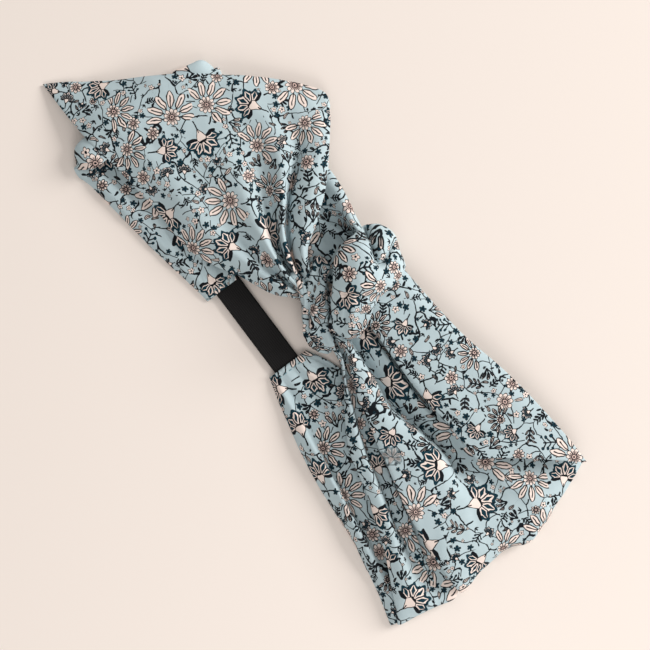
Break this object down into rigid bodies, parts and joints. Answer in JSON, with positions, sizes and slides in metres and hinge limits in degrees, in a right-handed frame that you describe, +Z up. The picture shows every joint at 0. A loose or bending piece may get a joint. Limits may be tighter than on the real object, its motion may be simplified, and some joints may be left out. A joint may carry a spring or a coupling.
{
  "type": "tie headband",
  "caption": "Wide printed-cotton tie headband laid flat: pleated cloth strips gathered on a black elastic at the back and knotted at the front, with loose slant-ended tails.",
  "frame": {"origin": "on the table under the middle of the headband's bounding box", "axes": "+X along the elastic, from the spread left tail towards the folded right tail; +Y from the elastic towards the knot; +Z up from the table"},
  "size_m": [0.2896, 0.117, 0.026],
  "materials": {
    "printed_cotton": "light plain-weave cotton with an all-over small floral print, dusty aqua ground",
    "elastic": "black woven elastic, matt, fine ribs across",
    "thread": "sewing thread in the ground colour"
  },
  "bodies": {
    "back": {"elastic": "elastic", "left_casing": "printed_cotton", "left_thread": "thread", "left_back_panel": "printed_cotton", "right_back_panel": "printed_cotton", "left_fold": "printed_cotton", "right_fold": "printed_cotton"},
    "right_end": {"right_casing": "printed_cotton", "right_thread": "thread"},
    "knot": {"knot_wrap": "printed_cotton", "knot_core": "printed_cotton", "knot_upper_strand": "printed_cotton", "knot_lower_strand": "printed_cotton"},
    "left_front": {"left_front_panel": "printed_cotton"},
    "right_front": {"right_front_panel": "printed_cotton"},
    "left_neck": {"left_neck": "printed_cotton"},
    "right_neck": {"right_neck": "printed_cotton"},
    "left_tail": {"left_tail": "printed_cotton"},
    "right_tail": {"right_tail_under": "printed_cotton", "right_tail_top": "printed_cotton"}
  },
  "joints": [
    {"name": "elastic_stretch", "type": "slide", "parent": "back", "child": "right_end", "axis": [1, 0, 0], "range_m": [0, 0.02], "stiffness_N_per_m": 60, "deforming": ["elastic", "right_back_panel"]},
    {"name": "loop_open", "type": "slide", "parent": "back", "child": "knot", "axis": [0, 0, 1], "range_m": [0, 0.04]},
    {"name": "left_front_swing", "type": "hinge", "parent": "back", "child": "left_front", "pos_m": [-0.1087, 0, 0.0088], "axis": [0, -1, 0], "range_deg": [0, 22.5]},
    {"name": "right_front_swing", "type": "hinge", "parent": "back", "child": "right_front", "pos_m": [0.134, 0, 0.0088], "axis": [0, 1, 0], "range_deg": [0, 22.5]},
    {"name": "left_tail_lean", "type": "hinge", "parent": "knot", "child": "left_neck", "pos_m": [-0.0057, 0, 0.01], "axis": [0, -1, 0], "range_deg": [0, 15]},
    {"name": "right_tail_lean", "type": "hinge", "parent": "knot", "child": "right_neck", "pos_m": [0.025, 0, 0.01], "axis": [0, 1, 0], "range_deg": [0, 15.5]},
    {"name": "left_tail_lift", "type": "hinge", "parent": "left_neck", "child": "left_tail", "pos_m": [-0.013, 0, 0.0124], "axis": [0, 1, 0], "range_deg": [0, 90]},
    {"name": "right_tail_lift", "type": "hinge", "parent": "right_neck", "child": "right_tail", "pos_m": [0.0295, 0, 0.0135], "axis": [0, -1, 0], "range_deg": [0, 90]}
  ],
  "couplings": [
    {"joint": "left_front_swing", "follows": "loop_open", "rad_per_m": 9.6},
    {"joint": "right_front_swing", "follows": "loop_open", "rad_per_m": 8.75},
    {"joint": "left_tail_lean", "follows": "loop_open", "rad_per_m": 5.5},
    {"joint": "right_tail_lean", "follows": "loop_open", "rad_per_m": 6.5}
  ]
}
